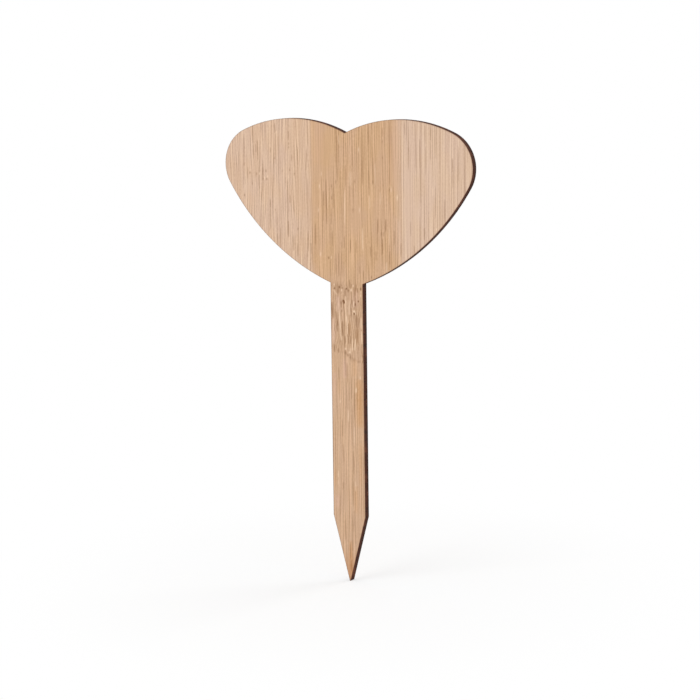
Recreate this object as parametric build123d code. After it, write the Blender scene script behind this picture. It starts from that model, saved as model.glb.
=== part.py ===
"""Plant label stake: a heart-shaped tag on a pointed stem, cut from one thin bamboo sheet.

The sheet is made first. Bamboo slats are glued edge to edge into a panel one slat thick, and the
panel is planed flat on both faces. A laser then cuts the outline through the slats and the glue
between them in one pass, so the seams end exactly at the cut edge. The stem and its point lie
wholly in the centre slat, with the grain running down to the tip.

Frame: +Z is up along the stem, -Y points out of the label face and +X is to a reader's right.
The origin is on the centreline, half way through the sheet, level with the soil.
"""

import math
import os

from build123d import *

# Driving dimensions of the outline, in millimetres
overall_height = 100.0  # from the tip to the tops of the lobes
head_width = 60.0  # across both lobes
head_height = 34.8  # from the neck to the tops of the lobes
lobe_spacing = 26.0  # between the tops of the two lobes
crown_radius = 30.0  # the arc from the cleft over the top of a lobe
shoulder_radius = 8.0  # the tight arc round the side of a lobe
flank_radius = 49.5  # the long arc from the side of a lobe down to the neck
stem_width = 7.9
spike_length = 14.5  # the tapered point below the stem's parallel sides
tip_width = 0.2  # the point is left this blunt
beam_radius = 0.1  # the round laser beam leaves this radius in an inner corner
soil_depth = 35.0  # how much of the stake is pushed into the soil

# Driving dimensions of the panel, in millimetres
sheet_thickness = 1.6
centre_slat_width = 21.7  # between the middles of the two glue lines
centre_slat_shift = 2.55  # how far the centre slat's middle lies to the right of the stem's
glue_thickness = 0.08

# Heights above the soil
tip_z = -soil_depth
spike_top_z = tip_z + spike_length
lobe_top_z = tip_z + overall_height
neck_z = lobe_top_z - head_height


def circles_meet(centre_a, radius_a, centre_b, radius_b):
    """The point where two circles meet that is on the right on the way from a to b."""
    apart = centre_b - centre_a
    along = (radius_a**2 - radius_b**2 + apart.length**2) / (2 * apart.length)
    aside = math.sqrt(radius_a**2 - along**2)
    forward = apart.normalized()
    rightward = Vector(forward.Y, -forward.X)
    return centre_a + forward * along + rightward * aside


def clockwise_arc(centre, start, end):
    """The arc about centre that runs clockwise from start to end."""
    first = start - centre
    last = end - centre
    start_angle = math.degrees(math.atan2(first.Y, first.X))
    end_angle = math.degrees(math.atan2(last.Y, last.X))
    return CenterArc(centre, first.length, start_angle, -((start_angle - end_angle) % 360))


def right_half_line():
    """The cut line of the right half, from the cleft down to the tip, drawn with Z as its Y.

    The crown, shoulder and flank are three arcs, each tangent to the next, so two of them meet
    where the line through both centres leaves them.
    """
    neck = Vector(stem_width / 2, neck_z)
    crown_centre = Vector(lobe_spacing / 2, lobe_top_z - crown_radius)
    cleft = Vector(0, crown_centre.Y + math.sqrt(crown_radius**2 - crown_centre.X**2))

    shoulder_x = head_width / 2 - shoulder_radius
    across = shoulder_x - crown_centre.X
    shoulder_rise = math.sqrt((crown_radius - shoulder_radius) ** 2 - across**2)
    shoulder_centre = Vector(shoulder_x, crown_centre.Y + shoulder_rise)
    crown_end = crown_centre + (shoulder_centre - crown_centre).normalized() * crown_radius

    flank_centre = circles_meet(
        shoulder_centre, flank_radius - shoulder_radius, neck, flank_radius
    )
    shoulder_end = flank_centre + (shoulder_centre - flank_centre).normalized() * flank_radius

    stem_end = (stem_width / 2, spike_top_z)
    return Curve() + [
        clockwise_arc(crown_centre, cleft, crown_end),
        clockwise_arc(shoulder_centre, crown_end, shoulder_end),
        clockwise_arc(flank_centre, shoulder_end, neck),
        Line(neck, stem_end),
        Line(stem_end, (tip_width / 2, tip_z)),
    ]


def cut_outline():
    """The whole outline as a flat face, with the beam's radius in the cleft and both neck corners."""
    right_half = right_half_line()
    blunt_tip = Line((tip_width / 2, tip_z), (-tip_width / 2, tip_z))
    face = make_face(right_half + mirror(right_half, about=Plane.YZ) + blunt_tip)
    cleft = face.vertices().filter_by_position(Axis.X, -beam_radius, beam_radius).sort_by(Axis.Y)[-1]
    necks = face.vertices().group_by(lambda corner: abs(corner.Y - neck_z))[0]
    return fillet([cleft, *necks], beam_radius)


def laser_cut(outline, left_x, right_x):
    """What the laser leaves of the strip of panel between two upright lines."""
    strip = Rectangle(right_x - left_x, overall_height, align=(Align.MIN, Align.MIN))
    kept = outline & Pos(left_x, tip_z) * strip
    return extrude(Plane.XZ * kept, sheet_thickness / 2, both=True)


# The panel from left to right. The outer slats run on past the lobes, and the laser trims them.
left_seam = centre_slat_shift - centre_slat_width / 2
right_seam = centre_slat_shift + centre_slat_width / 2
half_glue = glue_thickness / 2
panel = {
    "left_slat": (-head_width, left_seam - half_glue),
    "left_glue_line": (left_seam - half_glue, left_seam + half_glue),
    "centre_slat": (left_seam + half_glue, right_seam - half_glue),
    "right_glue_line": (right_seam - half_glue, right_seam + half_glue),
    "right_slat": (right_seam + half_glue, head_width),
}

os.makedirs("parts", exist_ok=True)
stake_outline = cut_outline()
for name, (left_x, right_x) in panel.items():
    piece = laser_cut(stake_outline, left_x, right_x)
    piece.label = name
    export_step(piece, f"parts/{name}.step")
    box = piece.bounding_box().size
    print(f"{name}: {box.X:.2f} x {box.Y:.2f} x {box.Z:.2f} mm, {piece.volume:.1f} mm3")
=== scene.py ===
# %% [markdown]
# # A bamboo plant label
# The object is a heart-shaped plant label on a pointed stem, cut from one flat sheet 1.6 mm thick.
# The sheet is three bamboo slats, glued edge to edge and planed. A laser cut the outline and left
# a dark, burnt rim. The packed model gives every size and place. This lesson loads it as a fixed
# frame, gives each slat a finer skin and a bamboo finish, and takes the label's portrait.

# %% Load the packed model
import math

import bpy
import numpy as np
from mathutils import Matrix, Vector


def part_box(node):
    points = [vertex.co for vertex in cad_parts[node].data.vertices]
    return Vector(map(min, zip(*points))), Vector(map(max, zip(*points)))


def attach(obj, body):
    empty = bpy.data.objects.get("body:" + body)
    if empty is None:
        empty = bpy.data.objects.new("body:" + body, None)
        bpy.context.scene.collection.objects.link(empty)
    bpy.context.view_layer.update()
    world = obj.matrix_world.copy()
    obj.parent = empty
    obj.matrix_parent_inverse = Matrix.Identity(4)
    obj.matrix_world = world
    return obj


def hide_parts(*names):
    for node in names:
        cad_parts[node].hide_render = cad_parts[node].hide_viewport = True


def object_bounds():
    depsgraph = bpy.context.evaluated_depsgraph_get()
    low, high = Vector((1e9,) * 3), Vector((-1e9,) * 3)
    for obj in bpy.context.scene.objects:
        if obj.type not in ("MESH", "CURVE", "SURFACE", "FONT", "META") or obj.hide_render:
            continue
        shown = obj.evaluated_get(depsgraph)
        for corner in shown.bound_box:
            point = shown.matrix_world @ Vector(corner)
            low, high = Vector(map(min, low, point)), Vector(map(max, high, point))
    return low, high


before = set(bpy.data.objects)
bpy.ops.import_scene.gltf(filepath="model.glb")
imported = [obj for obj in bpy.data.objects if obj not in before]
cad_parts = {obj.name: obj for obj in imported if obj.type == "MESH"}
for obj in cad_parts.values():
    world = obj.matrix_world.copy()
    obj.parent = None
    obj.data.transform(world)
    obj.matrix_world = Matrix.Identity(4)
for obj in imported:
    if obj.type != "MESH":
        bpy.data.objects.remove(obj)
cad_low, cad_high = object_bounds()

mm = 0.001
print("CAD box in mm:", [round(side / mm, 2) for side in cad_high - cad_low])

# %% [markdown]
# ## Sizes
# The two faces of the sheet, its outer limits and the glue lines are read from the frame's boxes.
# A box can't tell a radius or how wide the stem is, so the other sizes of the outline are written
# here as the solids have them. All are in metres, and `mm` keeps the numbers easy to read.

# %% Sizes of the sheet and of its outline
front_y, back_y = cad_low.y, cad_high.y
tip_z, lobe_top_z = cad_low.z, cad_high.z
half_width = cad_high.x
left_glue, right_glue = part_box("left_glue_line"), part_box("right_glue_line")

lobe_x = 13.0 * mm
crown_radius = 30.0 * mm
shoulder_radius = 8.0 * mm
flank_radius = 49.5 * mm
neck_z = lobe_top_z - 34.8 * mm
stem_half = 3.95 * mm
spike_length = 14.5 * mm
tip_half = 0.1 * mm
print("centre slat from", round(left_glue[1].x / mm, 2), "to", round(right_glue[0].x / mm, 2), "mm")

# %% [markdown]
# ## The cut line
# Round each half of the heart, the laser's path is three arcs, and each is tangent to the next:
# the crown over a lobe, the tight shoulder at its side and the long flank down to the neck.
# The path could be a long row of points, but an arc needs only a centre and a radius. Two arcs
# that touch have their centres in line with the point where they meet, which gives all the angles.
# Arcs are also easy to move inwards, for the softened rim of the faces: the centres stay where
# they are, and each radius shrinks by the same inset.

# %% Centres and angles of the arcs
crown_z = lobe_top_z - crown_radius
shoulder_x = half_width - shoulder_radius
shoulder_rise = math.sqrt((crown_radius - shoulder_radius) ** 2 - (shoulder_x - lobe_x) ** 2)
shoulder_z = crown_z + shoulder_rise


def find_flank_centre():
    """The centre that is one flank radius from the neck corner and holds the shoulder inside.

    It lies where two circles meet, of radii a and b, with centres d apart: along the line
    between the centres by (a^2 - b^2 + d^2) / 2d, then square to it by what a still lacks.
    """
    reach = flank_radius - shoulder_radius
    across, down = stem_half - shoulder_x, neck_z - shoulder_z
    apart = math.hypot(across, down)
    along = (reach**2 - flank_radius**2 + apart**2) / (2 * apart)
    aside = math.sqrt(reach**2 - along**2)
    x = shoulder_x + (across * along + down * aside) / apart
    z = shoulder_z + (down * along - across * aside) / apart
    return x, z


flank_x, flank_z = find_flank_centre()
crown_end = math.atan2(shoulder_z - crown_z, shoulder_x - lobe_x)
flank_end = math.atan2(shoulder_z - flank_z, shoulder_x - flank_x)
neck_turn = math.atan2(neck_z - flank_z, stem_half - flank_x)
print("shoulder from", round(math.degrees(flank_end)), "to", round(math.degrees(crown_end)), "degrees")

# %% Heights of the heart and width of the stem
spike_taper = (stem_half - tip_half) / spike_length
spike_slant = math.hypot(1, spike_taper)


def crown_height(x, inset):
    """Height of the crown's circle above x, with the circle moved in by inset."""
    return crown_z + np.sqrt((crown_radius - inset) ** 2 - (np.abs(x) - lobe_x) ** 2)


def flank_height(x, inset):
    """Height of the flank's circle below x, with the circle moved in by inset."""
    return flank_z - np.sqrt((flank_radius - inset) ** 2 - (np.abs(x) - flank_x) ** 2)


def stem_reach(z, inset):
    """Half the stem's width at height z: parallel sides, then a straight taper to the blunt tip."""
    spike = tip_half + spike_taper * (z - tip_z) - spike_slant * inset
    return np.minimum(stem_half - inset, spike)


print("cleft at", round((crown_height(0, 0) - tip_z) / mm, 2), "mm above the tip")

# %% [markdown]
# ## How far in from the cut
# Heat from the beam darkens the face for a fraction of a millimetre beside the cut. To paint that,
# every point needs its distance from the nearest cut. It could be measured on the mesh, point by
# point, but the arcs give it at once: opposite an arc it is the radius less the distance from the
# arc's centre, and opposite the stem it is the distance from a line.

# %% Distance from the cut line
far_away = 1.0


def depth_inside(x, z):
    """Distance in from the cut: by arcs in the heart, each within its own angles, by lines below."""
    x = np.abs(x)

    def opposite(centre_x, centre_z, radius):
        gap = radius - np.hypot(x - centre_x, z - centre_z)
        return gap, np.arctan2(z - centre_z, x - centre_x)

    crown, crown_turn = opposite(lobe_x, crown_z, crown_radius)
    shoulder, shoulder_turn = opposite(shoulder_x, shoulder_z, shoulder_radius)
    flank, flank_turn = opposite(flank_x, flank_z, flank_radius)
    beside_shoulder = (shoulder_turn > flank_end) & (shoulder_turn < crown_end)
    corner = np.hypot(stem_half - x, z - neck_z)
    heart = np.minimum.reduce([
        np.where(crown_turn >= crown_end, crown, far_away),
        np.where(beside_shoulder, shoulder, far_away),
        np.where(flank_turn < neck_turn, corner, np.where(flank_turn <= flank_end, flank, far_away)),
    ])
    spike = (tip_half + spike_taper * (z - tip_z) - x) / spike_slant
    stem = np.minimum.reduce([stem_half - x, spike, z - tip_z])
    return np.maximum(np.where(z > neck_z, heart, stem), 0)


print("the origin is", round(float(depth_inside(0, 0)) / mm, 2), "mm from a cut")

# %% [markdown]
# ## Grids over the outline
# A surface is easiest to shape when it is a grid of two parameters, one across the grain and one
# along it. A side slat has four edges: seam, crown, shoulder and flank. A patch stretched between
# these four curves fills it evenly, where plain upright columns would shrink to nothing at the
# side. The centre slat is upright columns between the flanks and the crowns, and a second grid
# that carries the middle columns on down the stem. Rows crowd towards the cut edges, where the
# burnt rim needs them, and on the stem they crowd where the cane had its node.

# %% Spacing of rows and columns
columns_across_side, rows_along_head = 220, 150


def both_ends(count, crowding):
    """Steps from 0 to 1 that are closer at both ends: t less a share of one turn of sine."""
    t = np.linspace(0, 1, count)
    return t - crowding * np.sin(2 * np.pi * t) / (2 * np.pi)


def far_end(count, crowding):
    """Steps from 0 to 1 that get closer towards 1: t plus a share of half a turn of sine."""
    t = np.linspace(0, 1, count)
    return t + crowding * np.sin(np.pi * t) / np.pi


def stations(stops, steps):
    """Places from stop to stop, in even steps of about the size that each run is given."""
    runs = [
        np.linspace(start, end, max(2, round(abs(end - start) / step) + 1))[:-1]
        for start, end, step in zip(stops, stops[1:], steps)
    ]
    return np.concatenate([*runs, stops[-1:]])


head_rows = both_ends(rows_along_head, 0.7)
side_columns = far_end(columns_across_side, 0.35)
print("rows along the head:", len(head_rows), "and columns across a side:", len(side_columns))

# %% Patch of a side slat
arris = 0.05 * mm


def along_arc(centre, radius, start, end, share):
    """Points on an arc: the centre plus the radius turned from angle start to angle end by share."""
    angle = start + (end - start) * share
    return np.stack([centre[0] + radius * np.cos(angle), centre[1] + radius * np.sin(angle)], axis=-1)


def side_patch(seam):
    """The face of a side slat, as x and z on a grid, for a seam to the right of the centreline.

    Blend the lower and upper edges by v, add the blend of the seam and the shoulder by u, and
    take away the blend of the four corners, which were counted twice.
    """
    u, v = side_columns, head_rows
    crown = (lobe_x, crown_z), crown_radius - arris
    flank = (flank_x, flank_z), flank_radius - arris
    shoulder = (shoulder_x, shoulder_z), shoulder_radius - arris
    upper = along_arc(*crown, math.acos((seam - lobe_x) / crown[1]), crown_end, u)
    lower = along_arc(*flank, -math.acos((seam - flank_x) / flank[1]), flank_end, u)
    outer = along_arc(*shoulder, flank_end, crown_end, v)[:, None]
    u, v = u[:, None], v[:, None, None]
    inner = (1 - v) * lower[0] + v * upper[0]
    corners = (1 - v) * ((1 - u) * lower[0] + u * lower[-1]) + v * ((1 - u) * upper[0] + u * upper[-1])
    grid = (1 - v) * lower + v * upper + (1 - u) * inner + u * outer - corners
    return grid[..., 0], grid[..., 1]


print("face grid of the left slat:", side_patch(-left_glue[0].x)[0].shape)

# %% Strips of the centre slat
neck_rim, neck_height = stem_half - arris, flank_height(stem_half - arris, arris)
node_foot = tip_z + 46 * mm


def strip_of_head(x):
    """Upright columns at x, as x and z on a grid, from the flanks or the neck up to the crowns."""
    lower = np.where(np.abs(x) < neck_rim, neck_height, flank_height(x, arris))
    upper = crown_height(x, arris)
    return np.broadcast_to(x, (rows_along_head, len(x))), lower + (upper - lower) * head_rows[:, None]


def strip_of_stem(x):
    """The columns of the neck carried down the stem: each keeps its share of the stem's width.

    Rows are fine at the point, coarse up the spike and the stem, and fine again through the node.
    """
    bend = tip_z + (neck_rim - tip_half + spike_slant * arris) / spike_taper
    blunt = tip_z + arris
    stops = [blunt, blunt + 0.3 * mm, bend, node_foot, neck_height]
    steps = [0.05 * mm, 0.4 * mm, 0.5 * mm, 0.16 * mm]
    z = stations(stops, steps)[:, None]
    return x / neck_rim * stem_reach(z, arris), np.broadcast_to(z, (len(z), len(x)))


print("rows down the stem:", len(strip_of_stem(np.zeros(1))[1]))

# %% [markdown]
# ## Marks in the bamboo
# Pale spots set beside some pores and pits are painted highlights on their rims.
# Bamboo shows its long fibres as fine dark and pale lines. The cane also has a node, a knuckle
# with a wall across it, and one of these lies at the top of the stem: the fibres swirl round it,
# a row of small pores marks its upper edge, a slanting scar its lower edge, and planing tore out
# a few pits. A noise pattern can give the ordinary grain, but these marks belong to this label, so
# they are drawn one by one. Heights are in millimetres above the tip and places across are from
# the centreline. Each mark says how dark or pale it is, and the dark ones dent the face a little.
# Broad strokes of the same kind say where the wood is golden or rosy, and where the grain is calm.

# %% Long fibres of the head
# Across at the top, across at the foot where the fibre leans, heights of the top and the foot,
# half width, tone (dark above 0, pale below)
head_fibres = [
    # Left slat
    (-22.86, -22.8, 98.3, 94.5, 0.12, 0.4), (-22.78, -22.74, 94.3, 91.3, 0.13, 0.35),
    (-25.25, -25.2, 96.5, 91.6, 0.13, 0.25), (-22.15, -22.1, 94.4, 92.5, 0.1, 0.35),
    (-21.7, -21.6, 95.4, 90.8, 0.13, 0.5), (-21.58, -21.5, 91, 84.5, 0.12, 0.3),
    (-20.45, -20.4, 91.2, 81, 0.12, 0.25), (-20.42, -20.55, 81.5, 76.5, 0.13, 0.35),
    (-24.36, 89.4, 86.9, 0.12, 0.3), (-18.66, 82.6, 80.8, 0.13, 0.55), (-18.68, -18.7, 81, 76, 0.13, 0.35),
    (-17.28, -17.2, 99, 96.8, 0.13, 0.45), (-17.1, -17.05, 96.8, 90.2, 0.12, 0.3),
    (-16.45, -16.4, 96, 87.6, 0.11, 0.35), (-16.35, -16.25, 87, 77.8, 0.11, 0.25),
    (-13.86, 97.3, 95.3, 0.15, 0.4), (-13.15, 92.3, 90.8, 0.12, 0.4), (-11.64, 94, 91.8, 0.12, 0.3),
    (-9.4, -9.45, 93.4, 89.2, 0.12, 0.35), (-9.25, -9.2, 87.2, 83, 0.11, 0.3),
    (-14.3, -14.25, 86.8, 79.5, 0.12, 0.5), (-14.2, 78, 74.5, 0.14, 0.55), (-13.7, 83.6, 81.8, 0.13, 0.4),
    (-20.9, 84, 82.2, 0.11, 0.35), (-16.24, 76.6, 72.2, 0.13, 0.4), (-17, 75.2, 72.4, 0.13, 0.35),
    (-13, 75.2, 71.6, 0.13, 0.45), (-12.04, 73.2, 70.4, 0.13, 0.35), (-9.24, 76, 71.7, 0.12, 0.35),
    (-25, 87.4, 85.4, 0.13, 0.25), (-18.4, 93.7, 92.6, 0.13, 0.35), (-8.56, 73.6, 71.2, 0.12, 0.4),
    (-16.8, -16.7, 97.3, 90.5, 0.12, -0.4), (-16.85, 86.5, 78.5, 0.13, -0.35),
    (-14.7, 90.2, 87.4, 0.12, -0.35), (-20.2, 92.8, 89.2, 0.12, -0.35), (-20.05, 79.2, 75.8, 0.14, -0.35),
    (-22.4, 86.8, 84.8, 0.11, -0.35), (-8.65, 99, 83, 0.4, -0.15),
    # Centre slat
    (-1.84, -1.88, 96.6, 90.3, 0.14, 0.35), (-1.88, 90.5, 87, 0.12, 0.35),
    (-4.68, -4.7, 87.2, 77.6, 0.14, 0.55), (-4.7, 84.4, 80.8, 0.13, 0.2),
    (-5.35, -5.38, 84.8, 81.6, 0.14, 0.5), (-5.42, -5.45, 82, 78.4, 0.13, 0.3),
    (-7.46, -7.5, 77.8, 73, 0.13, 0.55), (1.6, 1.58, 94.2, 88.8, 0.13, 0.15), (0.1, 90.4, 85.6, 0.12, 0.35),
    (-0.4, -0.6, 85.6, 79.6, 0.11, 0.35), (-2.94, 85.6, 81, 0.12, 0.3), (-3.46, 81.2, 77.6, 0.12, 0.3),
    (-3.3, 76.2, 73, 0.13, 0.35), (-1, 74.2, 72.4, 0.12, 0.35), (-0.36, 75.4, 72.6, 0.12, 0.4),
    (1.1, 1.08, 74.6, 71.8, 0.13, 0.55), (2.5, 74.6, 71.8, 0.12, 0.3), (-1.86, 71.8, 66.6, 0.14, 0.4),
    (-1.06, 72.2, 66.6, 0.14, 0.4), (-2.6, 71.2, 67, 0.14, 0.3), (10.74, 10.68, 100, 89.8, 0.11, 0.62),
    (10.68, 10.62, 90, 86.4, 0.11, 0.5), (10.6, 86, 80.5, 0.1, 0.3), (4.16, 98.4, 92, 0.13, 0.35),
    (4.2, 92.2, 86.2, 0.14, 0.45), (5.8, 99.2, 94.8, 0.12, 0.4), (5.66, 89.4, 83.8, 0.12, 0.35),
    (6.66, 6.64, 91.2, 86.2, 0.12, 0.3), (7.76, 7.72, 79.3, 76.2, 0.15, 0.5), (7.6, 76.6, 73.2, 0.13, 0.3),
    (9.1, 9.08, 98.3, 96.4, 0.12, 0.4), (9.66, 9.64, 79.3, 76.4, 0.13, 0.6),
    (8.86, 8.84, 75, 71.8, 0.13, 0.5), (10.54, 72.6, 69, 0.12, 0.55), (11.7, 76.8, 73.8, 0.15, 0.35),
    (13.26, 74.4, 71.4, 0.13, 0.5), (5.96, 73.3, 71.2, 0.13, 0.4), (7.24, 72.4, 70.4, 0.15, 0.35),
    (4.16, 68.2, 66, 0.12, 0.45), (3.24, 69, 67.4, 0.12, 0.35), (-0.2, -0.24, 85, 77.6, 0.12, -0.5),
    (-4.4, 84.2, 81, 0.1, -0.35), (-1.44, 96.6, 94.6, 0.12, -0.35), (4.06, 77.2, 72.4, 0.14, -0.45),
    (5.86, 84.2, 81.2, 0.12, -0.35), (7.24, 90.8, 86.4, 0.13, -0.3), (10.5, 77.4, 73.8, 0.12, -0.35),
    (9.76, 70.2, 67.4, 0.13, -0.45), (8.46, 85, 82.2, 0.12, -0.3), (1.2, 89, 85.8, 0.3, -0.25),
    # Right slat
    (15.2, 15.16, 99.6, 89.6, 0.12, 0.45), (14.3, 99.6, 96.8, 0.14, 0.35),
    (16.8, 16.85, 99.2, 89.5, 0.12, 0.3), (14, 92, 84, 0.12, 0.2), (17.8, 17.84, 96.1, 90, 0.12, 0.45),
    (17.94, 17.98, 90.4, 82.2, 0.13, 0.35), (19.06, 99, 95, 0.12, 0.3), (19.16, 94.6, 88.5, 0.12, 0.3),
    (20.3, 20.32, 99, 95.8, 0.13, 0.55), (20.32, 20.3, 96.2, 91.6, 0.12, 0.35), (21.5, 99, 92, 0.13, 0.2),
    (21.4, 21.36, 86.4, 79.8, 0.12, 0.3), (25.36, 25.38, 92.2, 89.4, 0.12, 0.5),
    (25.4, 89.8, 86.2, 0.13, 0.3), (26.76, 94.6, 87.4, 0.12, 0.3), (23.54, 23.52, 83.8, 79.2, 0.13, 0.4),
    (18.8, 77.8, 75.2, 0.13, 0.4), (16.4, 74, 72, 0.13, 0.35), (15.56, 79, 75.8, 0.13, 0.3),
    (13.75, 13.7, 99.5, 75, 0.15, -0.3), (26.1, 94.2, 85.3, 0.14, -0.25), (20.76, 86.2, 84.4, 0.14, -0.35),
]
print("fibres of the head:", len(head_fibres))

# %% Pores, flecks and painted highlights of the head
# Across, height, half width, half height, tone. A pale spot set beside a dark pore is a painted highlight on
# its rim.
head_spots = [
    (-23.75, 88.15, 0.16, 0.26, 0.65), (-22.05, 87.95, 0.14, 0.26, 0.65), (-21.35, 88, 0.12, 0.28, -0.8),
    (-19.65, 88.65, 0.15, 0.28, 0.7), (-19.5, 86.9, 0.2, 0.25, 0.65), (-20.4, 86.9, 0.12, 0.25, 0.6),
    (-20.05, 87.1, 0.14, 0.28, -0.9), (-19.25, 87.4, 0.13, 0.25, -0.9), (-13.8, 94.6, 0.13, 0.27, 0.6),
    (-13.8, 93.8, 0.13, 0.25, 0.6), (-13.7, 89, 0.12, 0.26, 0.7), (-12.5, 88.15, 0.14, 0.28, 0.7),
    (-15.5, 88.7, 0.12, 0.25, 0.5), (-25.2, 83.25, 0.14, 0.28, 0.7), (-23.2, 85.85, 0.13, 0.27, 0.5),
    (-25.1, 90, 0.13, 0.35, 0.4), (-17.4, 91.45, 0.2, 0.25, 0.4), (-16.85, 97, 0.12, 0.25, -0.7),
    (-11.8, 76.4, 0.15, 0.25, 0.6), (-17.45, 80.3, 0.14, 0.25, 0.5), (-14, 87.5, 0.12, 0.3, -0.7),
    (-3.36, 85.8, 0.13, 0.4, 0.6), (-3.36, 83.3, 0.13, 0.4, 0.6), (-2.3, 86.65, 0.13, 0.4, 0.5),
    (-4.3, 70.45, 0.18, 0.25, 0.8), (-3.65, 70.6, 0.13, 0.27, -0.6), (-6.34, 85.7, 0.13, 0.4, -0.7),
    (-6.64, 80.6, 0.12, 0.4, -0.6), (-5.8, 88.3, 0.13, 0.45, -0.5), (-6.3, 71.2, 0.14, 0.4, -0.7),
    (2.3, 86.9, 0.13, 0.4, 0.55), (1.8, 80.9, 0.14, 0.4, 0.5), (3.34, 93.6, 0.13, 0.45, -0.6),
    (3.36, 80.9, 0.13, 0.45, -0.6), (12.46, 83.8, 0.14, 0.5, -0.9), (11, 85.4, 0.14, 0.5, -0.6),
    (10.62, 85.35, 0.12, 0.4, 0.6), (9.04, 95.4, 0.13, 0.35, 0.45), (9.04, 92, 0.13, 0.35, 0.45),
    (6.66, 86.9, 0.13, 0.4, 0.5), (8.56, 76.05, 0.12, 0.45, 0.5), (9.14, 76.05, 0.12, 0.45, 0.5),
    (6.1, 66.8, 0.14, 0.4, 0.7), (15.2, 93.8, 0.13, 0.45, 0.2), (21.6, 77.5, 0.12, 0.25, -0.9),
]
print("pores and flecks of the head:", len(head_spots))

# %% Strands, pores, pits and painted highlights of the node
node_strokes = [
    (0.7, 66.1, 64.2, 0.14, 0.5), (1.25, 65.2, 64.3, 0.12, 0.45), (2.65, 64.4, 63.3, 0.11, 0.65),
    (-0.35, 64, 62.4, 0.13, 0.6), (-3.3, -2.3, 63.7, 62.6, 0.15, -0.4), (-0.8, -1.7, 63.1, 62.5, 0.15, -0.2),
    (1.35, 61.8, 60.1, 0.1, 0.55), (1.1, 60.1, 58.1, 0.11, 0.65), (-1.35, 61.1, 59.9, 0.12, 0.45),
    (2.3, 2.35, 59.3, 55.8, 0.12, 0.75), (2.8, 2.85, 58, 55.8, 0.13, 0.5),
    (-2.7, -2.2, 59.1, 55.8, 0.17, 0.4), (-3.45, -3.4, 61.2, 57.5, 0.15, 0.6),
    (-2.1, 62.1, 58.9, 0.3, -0.25), (-0.3, -0.25, 62.5, 56.9, 0.2, -0.3), (0.6, 61.6, 58.4, 0.3, -0.3),
    (1.7, 61.5, 60.2, 0.14, -0.5), (-1.9, -1.6, 59.2, 54.4, 0.11, -0.75),
    (-1.6, -1.45, 54.6, 52.8, 0.12, -0.6), (-0.1, 0.1, 58.2, 55.8, 0.11, -0.75), (0.1, 56, 54.2, 0.11, -0.7),
    (-0.25, 54.2, 51.9, 0.1, -0.4), (3.5, 58.1, 55.4, 0.14, -0.5), (3.5, 3.6, 55.2, 52.3, 0.14, -0.7),
    (-2.4, 57.1, 54.8, 0.17, 0.35), (-1.1, 57.1, 53.8, 0.2, 0.55), (0.5, 56.7, 53.8, 0.22, 0.45),
    (2.5, 56, 52.4, 0.25, 0.35), (-0.5, 54, 52.1, 0.12, 0.45), (0.3, 54, 52.1, 0.11, 0.6),
    (0.8, 54, 52.1, 0.11, 0.6), (1.2, 1.35, 53.4, 50.9, 0.09, -0.7), (2, 1.85, 53.4, 50.9, 0.1, -0.9),
    (-3.4, -3.35, 57.5, 52, 0.15, -0.35), (-3.15, 51.8, 50.2, 0.13, 0.5), (-2.2, 51.2, 50.1, 0.15, 0.5),
]
# Pale spots set beside the pores and pits are painted highlights on their rims.
node_spots = [
    (-2.95, 64, 0.15, 0.2, 1.2), (-1.8, 64.3, 0.16, 0.28, 1.3), (-1.05, 64.15, 0.13, 0.2, 0.8),
    (-0.05, 64.05, 0.18, 0.2, 1.2), (3.45, 64.15, 0.14, 0.3, 1.3), (0.45, 63.7, 0.18, 0.3, 0.8),
    (-1.2, 64.7, 0.2, 0.2, 0.35), (-2.1, 63.4, 0.4, 0.6, 0.45), (-3, 64.8, 0.16, 0.22, -0.6),
    (-1.25, 63.7, 0.15, 0.25, -0.9), (1.1, 63.8, 0.18, 0.28, -0.9), (1.65, 64.75, 0.14, 0.22, -0.8),
    (3.5, 63.5, 0.14, 0.3, -0.6), (3.45, 62.7, 0.15, 0.3, -0.6), (-0.3, 61.2, 0.13, 0.25, -0.9),
    (-0.82, 61.4, 0.21, 0.22, 1.7), (-0.65, 61.1, 0.22, 0.25, 2), (-1.4, 61.1, 0.2, 0.4, 0.5),
    (2.1, 60.8, 0.13, 0.33, 1.1), (2.85, 61.5, 0.15, 0.18, 1.3), (1.8, 58.72, 0.16, 0.18, 1.7),
    (-1.3, 59.2, 0.12, 0.3, 0.7), (2.15, 58.85, 0.11, 0.35, -1.1), (1.75, 59.3, 0.25, 0.2, -1),
    (1.4, 58.75, 0.08, 0.25, -0.5), (-0.4, 50.25, 0.3, 0.4, 0.45), (0.1, 49.75, 0.22, 0.3, 0.5),
    (0.8, 49.25, 0.2, 0.6, 0.55), (1.5, 48.75, 0.25, 0.45, 0.35), (2.7, 48.5, 0.3, 0.3, 0.35),
    (0.6, 50.4, 0.26, 0.25, -0.85), (-0.4, 51.1, 0.2, 0.22, -0.8), (0.8, 51.05, 0.5, 0.3, -0.35),
]
scar_across = [-4.0, -3.2, -2.2, -0.5, 0.1, 0.8, 1.5, 2.7, 4.0]
scar_height = [51.2, 50.9, 50.6, 50.2, 49.8, 49.3, 48.85, 48.55, 48.4]
print("marks of the node:", len(node_strokes), "strands and", len(node_spots), "pores or pits")

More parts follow.
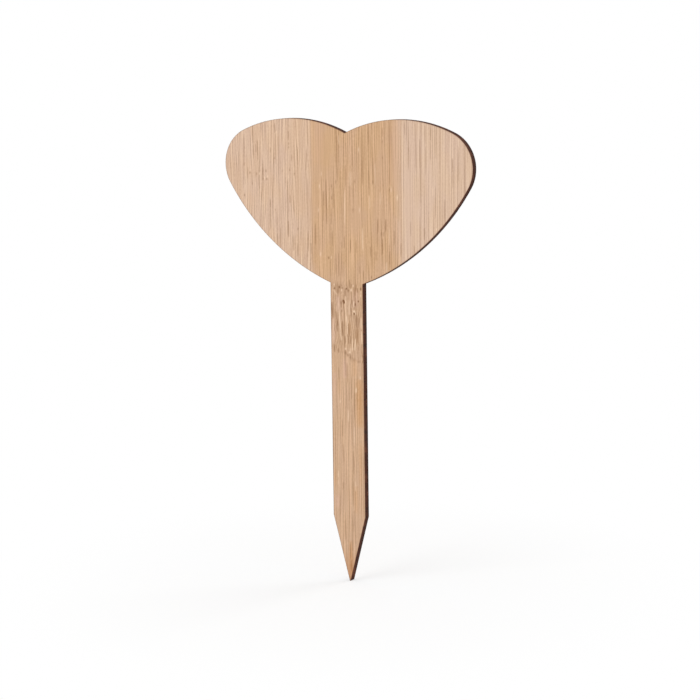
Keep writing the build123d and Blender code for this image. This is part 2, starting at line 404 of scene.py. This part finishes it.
# %% Fibres of the stem, and patches of hue and of calm grain
stem_fibres = [
    (-0.1, 48, 43.5, 0.13, 0.45), (-2.2, 47, 44.3, 0.13, 0.3), (0.9, 45.2, 40.3, 0.12, 0.35),
    (-0.35, -0.4, 44, 38, 0.12, 0.3), (1.6, 1.65, 42, 35.7, 0.12, 0.4), (1.05, 39, 30, 0.12, 0.3),
    (-1.45, 35.7, 31.8, 0.12, 0.35), (-1.35, -1.2, 30.5, 26, 0.13, 0.35), (1.15, 1.2, 28.7, 23.8, 0.13, 0.4),
    (1, 22.2, 16.8, 0.12, 0.35), (-1.45, 21.9, 20.3, 0.12, 0.4), (1.25, 1.4, 16, 8, 0.12, 0.35),
    (-1.1, -1.15, 13.5, 8.8, 0.13, 0.35), (0.1, 8.5, 4.8, 0.1, 0.5), (0.8, 9.5, 6.8, 0.1, 0.35),
    (0.3, 4.7, 2.3, 0.12, 0.5), (2.05, 43, 41.6, 0.16, -0.6), (0.05, 37.7, 35.3, 0.13, -0.5),
    (1.45, 34.2, 30.3, 0.13, -0.35), (-2.6, 24.2, 22.8, 0.12, -0.45), (-2.6, 22.2, 21.1, 0.12, -0.35),
    (1.6, 22.2, 20.2, 0.12, -0.35), (-1.9, 40, 39.1, 0.13, -0.5), (3.1, 45.3, 44.6, 0.14, -0.5),
]
# Golden above 0, rosy below
hue_patches = [
    (2.8, 2.9, 45, 34, 0.9, 0.75), (1.8, 49, 45, 0.7, 0.3), (3, 2.9, 31, 21, 0.4, 0.35),
    (1.7, 21.5, 15, 0.6, 0.35), (-2.4, 45, 41, 0.6, 0.2), (0.3, 9, 1.5, 0.5, 0.6),
    (-3.4, 25, 21, 0.25, 0.35), (2.4, 56, 52, 0.5, 0.2), (0.6, 0.5, 57, 54, 0.3, 0.3),
    (11.9, 100, 85, 1, -0.25), (-6.6, 100, 91, 1.4, -0.2), (-3.2, 46, 41, 0.5, -0.4),
    (-0.7, 49, 44.5, 0.5, -0.5), (-2.9, 19, 16, 0.6, -0.4), (-2.1, 62.5, 59, 0.5, -0.5),
    (2.2, 64, 60, 0.8, -0.35), (-3.3, 58, 52, 0.3, -0.5),
]
# Calm above 0, lively below
calm_patches = [
    (-5.2, 100, 86.5, 2.4, 0.7), (15.4, 15.2, 91, 72, 1.5, 0.55), (8.7, 96, 87, 1.3, 0.4),
    (3.5, 83, 75.5, 2.6, 0.45), (-23.6, -23.4, 86, 81, 1.3, 0.5), (-11.5, -11.3, 89, 81, 1.6, 0.3),
    (11.5, 100, 86, 1, 0.6), (-8.3, 89, 76, 1.8, 0.45), (-16, 97, 88, 1.8, 0.2), (12.2, 88, 79, 1.6, 0.3),
    (18.5, 97.5, 91, 2.5, 0.15), (0, 97, 84, 2, -0.25),
]
print("fibres of the stem:", len(stem_fibres), "and patches:", len(hue_patches) + len(calm_patches))

# %% From marks to values at each point
head_boldness, stem_boldness = 1.15, 1.3
scar_tone, scar_half = 0.12, 0.3
fibre_dent, pit_dent = 0.02 * mm, 0.1 * mm
node_fade, node_top = 0.8, neck_z + 0.6 * mm


def strokes_tone(across, height, strokes):
    """A bell across each stroke, times half a turn of sine to the power 0.3 along it, all added up."""
    tone = np.zeros_like(across)
    for top, *foot, high, low, width, strength in strokes:
        share = (height - low) / (high - low)
        middle = foot[0] + (top - foot[0]) * share if foot else top
        window = np.sin(np.pi * np.clip(share, 0, 1)) ** 0.3
        tone += strength * window * np.exp(-(((across - middle) / width) ** 2))
    return tone


def spots_tone(across, height, spots):
    """A bell both ways for each spot, all added up."""
    tone = np.zeros_like(across)
    for middle, level, wide, high, strength in spots:
        away = ((across - middle) / wide) ** 2 + ((height - level) / high) ** 2
        tone += strength * np.exp(-away)
    return tone


def drawn_marks(x, z):
    """How deep each point is dented, and its dark and pale tone, node, hue and calm by name.

    All tones are added up and then split into dark and pale, and the pale part also holds the painted
    highlights beside pores and pits. Only the dark ones dent the face, and the torn pits go deeper. The scar
    is a bell along its line, stronger and weaker by turns.
    The node fades in above the scar and out again in the neck.
    """
    across, height = x / mm, (z - tip_z) / mm
    below_scar = np.interp(across, scar_across, scar_height) - height
    by_turns = 0.6 + 0.4 * np.sin(across * 4.1)
    scar = scar_tone * np.exp(-((below_scar / scar_half) ** 2)) * by_turns
    spots = spots_tone(across, height, head_spots + node_spots)
    tone = head_boldness * strokes_tone(across, height, head_fibres) + spots + scar
    tone += stem_boldness * strokes_tone(across, height, node_strokes + stem_fibres)
    dent = fibre_dent * np.clip(tone, 0, 1) + pit_dent * np.clip(spots - 0.5, 0, 1)
    # The pale share holds pale fibres and flecks, and the painted highlights beside pores and pits.
    return dent, {
        "dark": np.clip(tone, 0, 1),
        "pale": np.clip(-tone, 0, 1),
        "node": np.clip(0.5 - below_scar / node_fade, 0, 1) * np.clip((node_top - z) / mm, 0, 1),
        "hue": strokes_tone(across, height, hue_patches),
        "calm": strokes_tone(across, height, calm_patches),
    }


pit = drawn_marks(np.array([-0.65 * mm]), np.array([tip_z + 61.1 * mm]))[0][0]
print("the large pit is", round(pit / mm, 2), "mm deep")

# %% [markdown]
# ## From a grid to a sheet with thickness
# A face grid becomes a closed piece in three steps. The same grid is used for the front and the
# back. Its rim is every edge that only one quad has. From each rim point a short row of points
# goes round the softened arris, through the thickness and round the other arris. Solidify and
# Bevel modifiers could do much the same, but here each point also keeps what it knows: how far it
# is from the cut, and which marks it lies in. All of it is index arithmetic on whole arrays, so it
# works for a heart, a stem or a glue line.
# The beam leaves fine ridges down the cut, so the wall steps in by up to 0.02 mm. A thin point
# can't carry heat away, so the tip is scorched farther in than the rest. Smooth shading would bend
# the light at a seam's square edge, so edges over 60 degrees stay sharp.

# %% Quads and rim of a grid
def quads_of(index):
    """The quads between neighbours of an index grid, anticlockwise for someone facing the label."""
    corners = [index[:-1, :-1], index[:-1, 1:], index[1:, 1:], index[1:, :-1]]
    return np.stack(corners, axis=-1).reshape(-1, 4)


def rim_of(quads):
    """The edges that only one quad has, each with the sheet on its left."""
    ends = np.stack([quads, np.roll(quads, -1, axis=1)], axis=-1).reshape(-1, 2)
    _, same, uses = np.unique(np.sort(ends, axis=1), axis=0, return_inverse=True, return_counts=True)
    return ends[uses[same.reshape(-1)] == 1]


sample = quads_of(np.arange(12).reshape(3, 4))
print("3 by 4 points make", len(sample), "quads with", len(rim_of(sample)), "rim edges")

# %% Wall round the rim
wall_steps = 6
ridge_depth = 0.02 * mm
wall_noise = np.random.default_rng(7)


def outward_from(x, z, edges):
    """How each point moves when its cut edges move out by one unit: n1 + n2 over 1 + n1.n2."""
    a, b = edges[:, 0], edges[:, 1]
    normal = np.stack([z[b] - z[a], x[a] - x[b]], axis=1)
    normal /= np.linalg.norm(normal, axis=1, keepdims=True)
    total, count = np.zeros((len(x), 2)), np.zeros((len(x), 1))
    for end in (a, b):
        np.add.at(total, end, normal)
        np.add.at(count, end, 1)
    return total * count / np.maximum((total**2).sum(axis=1, keepdims=True), 1e-9)


def wall_profile():
    """Out and in across the thickness: a quarter circle, a straight wall, a quarter circle.

    Both are shares: 0 is the face's rim and 1 the cut line, and 0 is the front and 1 the back.
    """
    turn = np.linspace(0, np.pi / 2, 4)[1:]
    edge = arris / (back_y - front_y)
    outer = np.sin(turn), edge * (1 - np.cos(turn))
    straight = np.linspace(edge, 1 - edge, wall_steps + 1)[1:-1]
    out = np.concatenate([outer[0], np.ones_like(straight), outer[0][::-1]])
    depth = np.concatenate([outer[1], straight, 1 - outer[1][::-1]])
    return out, depth


def wall_ring(x, z, outward, sunk):
    """The rim carried through the thickness, row by row, and whether each of its points is burnt.

    A row is the rim moved outwards by its share of the arris. Where that share is 1, each point
    steps back in by a random ridge. A point on a seam has no way out, so it isn't burnt.
    """
    out, depth = wall_profile()
    burnt = np.linalg.norm(outward, axis=1) > 0
    ridges = wall_noise.random(len(x)) * ridge_depth * burnt
    push = arris * out[:, None] - np.where(out[:, None] == 1, ridges, 0)
    y = front_y + sunk + (back_y - front_y - 2 * sunk) * depth[:, None]
    ring = [x + outward[:, 0] * push, np.broadcast_to(y, push.shape), z + outward[:, 1] * push]
    return np.stack(ring, axis=-1), np.tile(burnt, len(out))


def wall_quads(rim_points, rim_edges, count, rows):
    """Quads from row to row of the wall: the front's rim, the ring's rows, the back's rim."""
    ring = 2 * count + np.arange(rows * len(rim_points)).reshape(rows, -1)
    layers = np.vstack([rim_points, ring, rim_points + count])
    a, b = rim_edges.T
    corners = [layers[:-1, b], layers[:-1, a], layers[1:, a], layers[1:, b]]
    return np.stack(corners, axis=-1).reshape(-1, 4)


print("rows of points in a wall:", len(wall_profile()[0]))

# %% Sheet builder
soot_reach, tip_soot_reach = 0.065 * mm, 0.45 * mm
undented_rim = 0.3 * mm
sharp_turn = math.radians(60)
hair = 0.001 * mm


def add_piece(name, points, quads, attributes):
    """A mesh object at the origin, smooth up to its square edges, with values at each point."""
    mesh = bpy.data.meshes.new(name)
    mesh.from_pydata(points.tolist(), [], quads.tolist())
    for label, values in attributes.items():
        layer = mesh.attributes.new(label, "FLOAT", "POINT")
        layer.data.foreach_set("value", values.astype(np.float32))
    mesh.validate()
    mesh.shade_smooth()
    mesh.set_sharp_from_angle(angle=sharp_turn)
    piece = bpy.data.objects.new(name, mesh)
    bpy.context.scene.collection.objects.link(piece)
    print(name, "has", len(points), "points and", len(quads), "faces")
    return piece


def build_sheet(name, x, z, quads, seams, sunk=0.0, marked=True):
    """A closed piece from a flat grid: front, back and a wall round the rim.

    Rim edges on a seam stay where they are, and the others move out to the cut line. Soot falls
    off by exp(-distance / reach), in from the cut and up from the tip, whichever leaves more.
    """
    count = len(x)
    rim = rim_of(quads)
    rim_points, rim_edges = np.unique(rim, return_inverse=True)
    on_seam = np.any([np.abs(x - seam) < hair for seam in seams], axis=0)
    outward = outward_from(x, z, rim[~on_seam[rim].all(axis=1)])
    ring, burnt = wall_ring(x[rim_points], z[rim_points], outward[rim_points], sunk)
    walls = wall_quads(rim_points, rim_edges.reshape(rim.shape), count, len(ring))

    inside = depth_inside(x, z)
    dent, marks = drawn_marks(x, z) if marked else (np.zeros(count), {})
    front = np.stack([x, front_y + sunk + dent * np.clip(inside / undented_rim, 0, 1), z], axis=1)
    back = np.stack([x, np.full(count, back_y - sunk), z], axis=1)
    points = np.concatenate([front, back, ring.reshape(-1, 3)])

    soot = np.maximum(np.exp(-inside / soot_reach), np.exp((tip_z - z) / tip_soot_reach))
    attributes = {"soot": np.concatenate([soot, soot, burnt])}
    for label, values in marks.items():
        behind = values if label == "node" else 0 * values
        attributes[label] = np.concatenate([values, behind, np.zeros(len(burnt))])
    return add_piece(name, points, np.concatenate([quads, quads[:, ::-1] + count, walls]), attributes)


print("soot reaches", soot_reach / mm, "mm in from a cut and", tip_soot_reach / mm, "mm up from the tip")

# %% [markdown]
# ## The three slats and two glue lines
# The side slats are one patch each. The left one is worked out as if it were on the right and then
# mirrored, so its quads are turned round to keep their faces outwards. The centre slat joins two
# grids along the neck, by giving the stem's top row the numbers of the head's lowest row.
# The glue is a film less than a tenth of a millimetre wide. It shrank a little as it cured, so its
# faces lie a hair below the wood.

# %% Left and right slats
def side_slat(name, seam, hand):
    """A side slat: the patch for a seam on the right, mirrored for the left hand."""
    x, z = side_patch(seam)
    quads = quads_of(np.arange(x.size).reshape(x.shape))
    if hand < 0:
        quads = quads[:, ::-1]
    return build_sheet(name, hand * x.ravel(), z.ravel(), quads, [hand * seam])


left_slat = side_slat("left_slat_skin", -left_glue[0].x, -1)
right_slat = side_slat("right_slat_skin", right_glue[1].x, 1)

# %% Centre slat with the stem and the spike
column_step = 0.12 * mm


def centre_slat_piece(name):
    """The head's strip and the stem's strip, joined along the neck."""
    left, right = left_glue[1].x, right_glue[0].x
    columns = stations([left, -neck_rim, 0.0, neck_rim, right], [column_step] * 4)
    on_neck = np.flatnonzero(np.abs(columns) < neck_rim + hair)
    head_x, head_z = strip_of_head(columns)
    stem_x, stem_z = (grid[:-1] for grid in strip_of_stem(columns[on_neck]))
    head_index = np.arange(head_x.size).reshape(head_x.shape)
    stem_index = head_x.size + np.arange(stem_x.size).reshape(stem_x.shape)
    joined_index = np.vstack([stem_index, head_index[0, on_neck]])
    x = np.concatenate([head_x.ravel(), stem_x.ravel()])
    z = np.concatenate([head_z.ravel(), stem_z.ravel()])
    quads = np.concatenate([quads_of(head_index), quads_of(joined_index)])
    return build_sheet(name, x, z, quads, [left, right])


centre_slat = centre_slat_piece("centre_slat_skin")

# %% Glue lines
glue_sunk = 0.01 * mm


def glue_line(name, box):
    """A narrow strip between two seams, from the flank up to the crown, with no marks on it."""
    seams = [box[0].x, box[1].x]
    x, z = strip_of_head(np.linspace(*seams, 3))
    quads = quads_of(np.arange(x.size).reshape(x.shape))
    return build_sheet(name, x.ravel(), z.ravel(), quads, seams, glue_sunk, marked=False)


left_film = glue_line("left_glue_film", left_glue)
right_film = glue_line("right_glue_film", right_glue)

# %% [markdown]
# ## Shader maths in plain Python
# A material is a graph of nodes, and wiring one by hand hides the sum that it works out. A small
# class fixes that: it holds one socket, and adding or multiplying two of them adds a Math node.
# One method makes every other kind of node.

# %% A wire to write formulas with
class Wire:
    """One value on its way through a material."""

    def __init__(self, tree, socket=None):
        self.tree = tree
        self.socket = socket

    def node(self, kind, settings=None, sockets=None, output=0):
        """Adds a node: settings are set first, then each socket gets a value or a link."""
        made = self.tree.nodes.new(kind)
        for name, value in (settings or {}).items():
            setattr(made, name, value)
        for name, value in (sockets or {}).items():
            if isinstance(value, Wire):
                self.tree.links.new(value.socket, made.inputs[name])
            else:
                made.inputs[name].default_value = value
        return Wire(self.tree, made.outputs[output])

    def math(self, operation, first, second=0.0):
        """One operation on two values, each a wire or a number."""
        return self.node("ShaderNodeMath", {"operation": operation}, {0: first, 1: second})

    def __add__(self, other):
        return self.math("ADD", self, other)

    def __sub__(self, other):
        return self.math("SUBTRACT", self, other)

    def __rsub__(self, other):
        return self.math("SUBTRACT", other, self)

    def __mul__(self, other):
        return self.math("MULTIPLY", self, other)

    def __truediv__(self, other):
        return self.math("DIVIDE", self, other)

    __radd__ = __add__
    __rmul__ = __mul__

    def rise(self, low, high):
        """0 below low, 1 above high and a smooth rise between. With low above high it falls."""
        limits = {"Value": self, "From Min": low, "From Max": high}
        return self.node("ShaderNodeMapRange", {"interpolation_type": "SMOOTHSTEP"}, limits)

    def beside(self, output):
        """Another output of the node that this wire comes from."""
        return Wire(self.tree, self.socket.node.outputs[output])

    def mix(self, first, second, share):
        """The first colour moved towards the second by a share. Below 0 it counts as 0."""
        return self.node("ShaderNodeMix", {"data_type": "RGBA"}, {0: share, 6: first, 7: second}, output=2)

    def tinted(self, colour, share):
        """This colour moved towards another by a share."""
        return self.mix(self, colour, share)

    def place(self):
        """The point on the surface, in the object's own metres."""
        return self.node("ShaderNodeTexCoord", output="Object")

    def attribute(self, label):
        """The value that the mesh holds at this point."""
        return self.node("ShaderNodeAttribute", {"attribute_name": label}, output="Fac")


def open_finish(name):
    """A new material, its shader node and a wire to build on."""
    material = bpy.data.materials.new(name)
    material.use_nodes = True
    return material, material.node_tree.nodes["Principled BSDF"], Wire(material.node_tree)


print("a wire can do:", [method for method in vars(Wire) if not method.startswith("_")])

# %% [markdown]
# ## Bamboo
# Planed bamboo is a pale ground with brown fibre bundles in it, each a few tenths of a millimetre
# wide and a centimetre or so long. A photograph of bamboo could be wrapped over it, but it would
# bring its own light along and repeat. Patterns stretched along the grain don't: a sine across
# the slat gives thin, nearly even ribs, long cells with one slim lens in each give bolder lines at
# random places, and noise gives the finest streaks and specks. Round the node the place across is
# pushed about by noise first, so that every pattern swirls there.
# Near a seam the ground drifts towards the next slat's tint, as it does on the real sheet. Patches
# of hue, the fibres, the drawn marks, the toasted tip and the soot of the cut go on in that order.
# All patterns are in millimetres on Object coordinates, so they have the right scale anywhere.

# %% Colours of bamboo
def srgb(red, green, blue):
    """A colour seen on a screen, from 0 to 255, as the linear values that light works with."""
    seen = np.array([red, green, blue]) / 255
    linear = np.where(seen <= 0.04045, seen / 12.92, ((seen + 0.055) / 1.055) ** 2.4)
    return (*(float(value) for value in linear), 1.0)


# Two tints for the ground of each slat, from left to right
slat_grounds = [
    (srgb(216, 182, 154), srgb(215, 183, 159)),
    (srgb(207, 168, 129), srgb(206, 168, 134)),
    (srgb(216, 184, 157), srgb(216, 185, 162)),
]
stem_ground = srgb(208, 175, 148)
golden_wood, rosy_wood = srgb(202, 150, 98), srgb(220, 180, 162)
# The pale colour is for pale fibres and flecks, and for the painted highlights beside pores and pits.
dark_fibre, pale_fibre = srgb(118, 72, 30), srgb(250, 218, 187)
toasted_tip = srgb(176, 100, 22)
front_char, back_char = srgb(80, 38, 20), srgb(60, 34, 24)
red_char, black_char = srgb(104, 60, 40), srgb(34, 20, 14)
print("centre slat in linear light:", [round(value, 2) for value in slat_grounds[1][0]])

# %% Patterns along the grain
class Grain:
    """Patterns in millimetres across and along the grain. Each shift gives new ones."""

    def __init__(self, wire, x, z, shift):
        self.wire, self.x, self.z, self.shift = wire, x, z, shift

    def stretched(self, width, length, offset):
        """A flat place in a pattern with features that wide and long."""
        across = self.x / width + (self.shift + offset)
        return self.wire.node("ShaderNodeCombineXYZ", None, {"X": across, "Y": self.z / length})

    def noise(self, width, length, offset, detail=0.0):
        """Smooth noise about 0, from -0.5 to 0.5."""
        sockets = {"Vector": self.stretched(width, length, offset), "Scale": 1.0, "Detail": detail}
        return self.wire.node("ShaderNodeTexNoise", {"noise_dimensions": "2D"}, sockets) - 0.5

    def cells(self, width, length, offset):
        """Distance from the middle of the nearest cell, and that cell's chance number from 0 to 1."""
        settings = {"voronoi_dimensions": "2D", "distance": "MINKOWSKI"}
        pattern = {"Scale": 1.0, "Exponent": 4.0, "Randomness": 0.85}
        sockets = {"Vector": self.stretched(width, length, offset), **pattern}
        near = self.wire.node("ShaderNodeTexVoronoi", settings, sockets, "Distance")
        return near, self.wire.node("ShaderNodeSeparateColor", None, {"Color": near.beside("Color")})


pattern_shares = {"ribs": 0.65, "fine": 0.5, "common": 0.25, "bold": 0.3, "bands": 0.05, "specks": 0.45}


def fibre_tone(grain, length, rib):
    """How dark the fibres are, as a weighted sum of patterns, for a fibre's length and a rib's width.

    Ribs are a sine that wanders and comes and goes. Common and bold fibres are the middles of long
    cells, stronger or weaker by the cell's chance number. Bands are whole cells of one tone.
    """
    wander = grain.noise(1.5, length * 6, 3.0) * 1.2
    ribs = grain.wire.math("SINE", (grain.x + wander) * (2 * math.pi / rib)).rise(-0.3, 1.0) - 0.4
    common, common_chance = grain.cells(0.5, length * 2.5, 0.0)
    bold, bold_chance = grain.cells(0.45, length * 5, 7.0)
    _, band_chance = grain.cells(1.7, length * 5, 13.0)
    patterns = {
        "ribs": ribs * grain.noise(0.8, length, 5.0).rise(-0.25, 0.1),
        "fine": grain.noise(0.2, length * 1.5, 17.0),
        "common": common.rise(0.36, 0.14) * (common_chance - 0.4),
        "bold": bold.rise(0.27, 0.12) * bold_chance.rise(0.4, 1.0),
        "bands": band_chance - 0.5,
        "specks": grain.noise(0.22, 0.6, 19.0, 1.0),
    }
    return sum(patterns[name] * share for name, share in pattern_shares.items())


print("fibre patterns and their shares:", pattern_shares)

# %% Ground and char
# Finishes work in millimetres
neck, tip = neck_z / mm, tip_z / mm
left_seam, right_seam = ((box[0].x + box[1].x) / (2 * mm) for box in (left_glue, right_glue))


def ground(grain, across):
    """The wood between the fibres: two tints a slat, in patches that drift across the seams.

    Over the left seam a wide drift and a short one add up. Below the head the ground goes half
    way to the stem's own tint.
    """
    patches = grain.noise(3.5, 8.0, 29.0, 1.0).rise(-0.15, 0.15)
    left, centre, right = (grain.wire.mix(*tints, patches) for tints in slat_grounds)
    wide_drift = across.rise(left_seam - 6.7, left_seam - 0.2)
    short_drift = across.rise(left_seam - 0.9, left_seam + 0.8)
    colour = left.tinted(centre, wide_drift * 0.3 + short_drift * 0.7)
    colour = colour.tinted(right, across.rise(right_seam - 2.6, right_seam + 0.9))
    return colour.tinted(stem_ground, grain.z.rise(neck + 5.8, neck - 6.2) * 0.5)


def char(grain, y):
    """Burnt wood: browner towards the front, with red-brown patches and black specks."""
    colour = grain.wire.mix(front_char, back_char, y.rise(-0.8, 0.5))
    colour = colour.tinted(red_char, grain.noise(2.0, 3.5, 41.0, 1.0).rise(0.0, 0.3))
    return colour.tinted(black_char, grain.noise(0.6, 0.35, 47.0).rise(0.0, 0.4) * 0.7)


print("seams at", round(left_seam, 2), "and", round(right_seam, 2), "mm")

# %% Bamboo of the three slats
new_on_back = 50
node_swirl, node_mottle, node_shade = 0.6, 0.5, 0.14
tone_lift = 0.03
dark_share, pale_share, toast_share = 0.85, 0.95, 0.35


def bamboo(name, deep, light, seed, length, rib, contrast):
    """One slat's finish: ground, hue, fibres, marks, toast and soot, each laid over the last.

    Fibres tint the ground towards the deep colour where their tone is above 0 and towards the
    light one below. Contrast is how strongly they show.
    """
    material, shader, wire = open_finish(name)
    split = wire.node("ShaderNodeSeparateXYZ", None, {"Vector": wire.place()})
    x, y, z = (split.beside(axis) / mm for axis in "XYZ")
    soot, dark, pale, node, hue, calm = (
        wire.attribute(label) for label in ("soot", "dark", "pale", "node", "hue", "calm")
    )
    shift = wire.math("GREATER_THAN", y, 0.0) * new_on_back + seed
    straight = Grain(wire, x, z, shift)
    swirl = straight.noise(1.6, 2.5, 1.0) * node * node_swirl
    grain = Grain(wire, x + swirl, z, shift)
    mottle = straight.noise(0.45, 2.4, 43.0, 1.0) * node_mottle + node_shade
    tone = fibre_tone(grain, length, rib) * contrast * (1 - calm) + mottle * node - tone_lift

    colour = ground(grain, x).tinted(golden_wood, hue).tinted(rosy_wood, hue * -1.0)
    colour = colour.tinted(deep, tone).tinted(light, tone * -0.9)
    # The pale tint lays on pale fibres and flecks, and the painted highlights beside pores and pits.
    colour = colour.tinted(dark_fibre, dark * dark_share).tinted(pale_fibre, pale * pale_share)
    colour = colour.tinted(toasted_tip, z.rise(tip + 8.0, tip + 1.0) * toast_share)
    colour = colour.tinted(char(grain, y), soot)
    roughness = 0.56 - tone * 0.08 + soot * 0.25
    bump = wire.node("ShaderNodeBump", None, {"Strength": 0.1, "Distance": 0.05 * mm, "Height": 1 - tone})
    for value, socket in ((colour, "Base Color"), (roughness, "Roughness"), (bump, "Normal")):
        wire.tree.links.new(value.socket, shader.inputs[socket])
    shader.inputs["Specular IOR Level"].default_value = 0.15
    print("finish", name, "has", len(wire.tree.nodes), "nodes")
    return material


left_bamboo = bamboo(
    "left slat bamboo", srgb(152, 116, 90), srgb(255, 225, 192),
    seed=0.0, length=5.0, rib=0.48, contrast=0.97,
)
centre_bamboo = bamboo(
    "centre slat bamboo", srgb(144, 102, 66), srgb(251, 208, 170),
    seed=100.0, length=7.0, rib=0.54, contrast=0.88,
)
right_bamboo = bamboo(
    "right slat bamboo", srgb(152, 118, 92), srgb(255, 227, 197),
    seed=200.0, length=11.0, rib=0.64, contrast=0.78,
)

# %% [markdown]
# ## Glue
# The film is a cured resin, a little darker than the wood, and the beam burnt its ends too.
# One flat brown would do at arm's length, but close up real glue is cloudy, so a noise moves it
# between two browns.

# %% Glue finish
def cured_glue(name):
    """A plain resin brown that clouds along its length, with burnt ends."""
    material, shader, wire = open_finish(name)
    cloud = wire.node("ShaderNodeTexNoise", None, {"Vector": wire.place(), "Scale": 400.0})
    resin = wire.mix(srgb(190, 150, 116), srgb(208, 170, 138), cloud)
    colour = resin.tinted(srgb(62, 40, 31), wire.attribute("soot"))
    wire.tree.links.new(colour.socket, shader.inputs["Base Color"])
    shader.inputs["Roughness"].default_value = 0.5
    print("finish", name, "has", len(wire.tree.nodes), "nodes")
    return material


glue = cured_glue("slat glue")

# %% [markdown]
# ## Dressing the model
# The packed model has one node for each slat and glue line, all on one rigid body. Each new piece gets its
# material and moves with that body, and the node that it stands in for is hidden.

# %% Pieces, nodes and slots
dressing = [
    (left_slat, "left_slat", "left_slat_bamboo", left_bamboo),
    (centre_slat, "centre_slat", "centre_slat_bamboo", centre_bamboo),
    (right_slat, "right_slat", "right_slat_bamboo", right_bamboo),
    (left_film, "left_glue_line", "slat_glue", glue),
    (right_film, "right_glue_line", "slat_glue", glue),
]
for piece, node, slot, material in dressing:
    piece.data.materials.append(material)
    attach(piece, "root")
    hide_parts(node)
print("dressed", len(dressing), "pieces")

# %% [markdown]
# ## Floor, light and background
# The label stands on its tip on a plain white floor, in the soft light of a photographer's tent:
# a pale surround and two large lamps, in front and behind. To the camera the surround is pure
# white. A brighter one could do that too, but it would wash out the wood, so the light that it
# sheds is set apart from how it looks.

# %% Floor
floor_size = 4.0
paper_white = (0.98, 0.98, 0.98, 1.0)
pure_white = (1.0, 1.0, 1.0, 1.0)
shadow_near, shadow_far, shadow_glow = 0.036, 0.09, 0.5


def to_the_eye(wire):
    """1 for rays that the viewer sees straight, in a gloss or through glass, and 0 for lighting."""
    camera_ray = wire.node("ShaderNodeLightPath", output="Is Camera Ray")
    shown = camera_ray
    for kind in ("Is Glossy Ray", "Is Transmission Ray"):
        shown = wire.math("MAXIMUM", shown, camera_ray.beside(kind))
    return shown


def white_floor(name):
    """White paper that takes a shadow near the object and looks pure white farther off.

    Near and far are distances from the origin, which lies 35 mm above the floor.
    """
    material, shader, wire = open_finish(name)
    shader.inputs["Base Color"].default_value = paper_white
    shader.inputs["Roughness"].default_value = 0.9
    shader.inputs["Specular IOR Level"].default_value = 0.0
    away = wire.node("ShaderNodeVectorMath", {"operation": "LENGTH"}, {0: wire.place()}, output="Value")
    glow = wire.node("ShaderNodeEmission", None, {"Color": pure_white, "Strength": 1.0})
    clear = away.rise(shadow_near, shadow_far) * (1 - shadow_glow)
    paper = Wire(wire.tree, shader.outputs["BSDF"])
    share = (shadow_glow + clear) * to_the_eye(wire)
    mixed = wire.node("ShaderNodeMixShader", None, {0: share, 1: paper, 2: glow})
    wire.tree.links.new(mixed.socket, wire.tree.nodes["Material Output"].inputs["Surface"])
    return material


corners = np.array([[-1, -1], [1, -1], [1, 1], [-1, 1]]) * floor_size / 2
floor_points = np.column_stack([corners, np.full(4, tip_z)])
floor = add_piece("studio_floor", floor_points, np.arange(4)[None], {})
floor.data.materials.append(white_floor("white paper"))

# %% Surround
surround_light = 0.75
world = bpy.data.worlds.new("white tent")
world.use_nodes = True
bpy.context.scene.world = world
strength = surround_light + to_the_eye(Wire(world.node_tree)) * (1 - surround_light)
background = world.node_tree.nodes["Background"]
background.inputs["Color"].default_value = pure_white
world.node_tree.links.new(strength.socket, background.inputs["Strength"])
print("the surround sheds", surround_light, "and shows 1")

# %% Lamps
lamp_size = 0.6


def soft_lamp(name, place, watts):
    """A square lamp that faces the middle of the label."""
    light = bpy.data.lights.new(name, "AREA")
    light.size = lamp_size
    light.energy = watts
    lamp = bpy.data.objects.new(name, light)
    lamp.location = place
    middle = (cad_low + cad_high) / 2
    lamp.rotation_euler = (middle - Vector(place)).to_track_quat("-Z", "Y").to_euler()
    bpy.context.scene.collection.objects.link(lamp)


soft_lamp("front lamp", (-0.35, -0.75, 0.7), watts=2.7)
soft_lamp("back lamp", (0.5, 0.8, 0.6), watts=2.6)
print("lamps:", bpy.data.lights.keys())

# %% [markdown]
# ## Camera
# The portrait is taken from the label's right and a little above. The lens is long, so the sides
# of the stem stay almost parallel. A constraint could aim the camera, but three directions at
# right angles, to the right, up and back, are its rotation matrix already.

# %% Camera at the portrait's angle
azimuth, elevation, roll = math.radians(29.79), math.radians(9.01), math.radians(-0.73)
distance = 434.5 * mm
aim = Vector((0.2 * mm, 0.0, tip_z + 50.76 * mm))
level = math.cos(elevation)
towards = Vector((math.sin(azimuth) * level, -math.cos(azimuth) * level, math.sin(elevation)))
rightward = Vector((0, 0, 1)).cross(towards).normalized()
turned = Matrix((rightward, towards.cross(rightward), towards)).transposed() @ Matrix.Rotation(roll, 3, "Z")
lens = bpy.data.cameras.new("portrait lens")
lens.lens = 104.42
lens.sensor_width = 36.0
lens.clip_start = 0.01
camera = bpy.data.objects.new("portrait camera", lens)
camera.matrix_world = Matrix.Translation(aim + towards * distance) @ turned.to_4x4()
bpy.context.scene.collection.objects.link(camera)
bpy.context.scene.camera = camera
bpy.context.scene.view_settings.view_transform = "Standard"
print("camera at", [round(value / mm, 1) for value in camera.location], "mm")

# %% [markdown]
# ## Sizes of the skins
# The skins keep to the size of the solids that they replace.
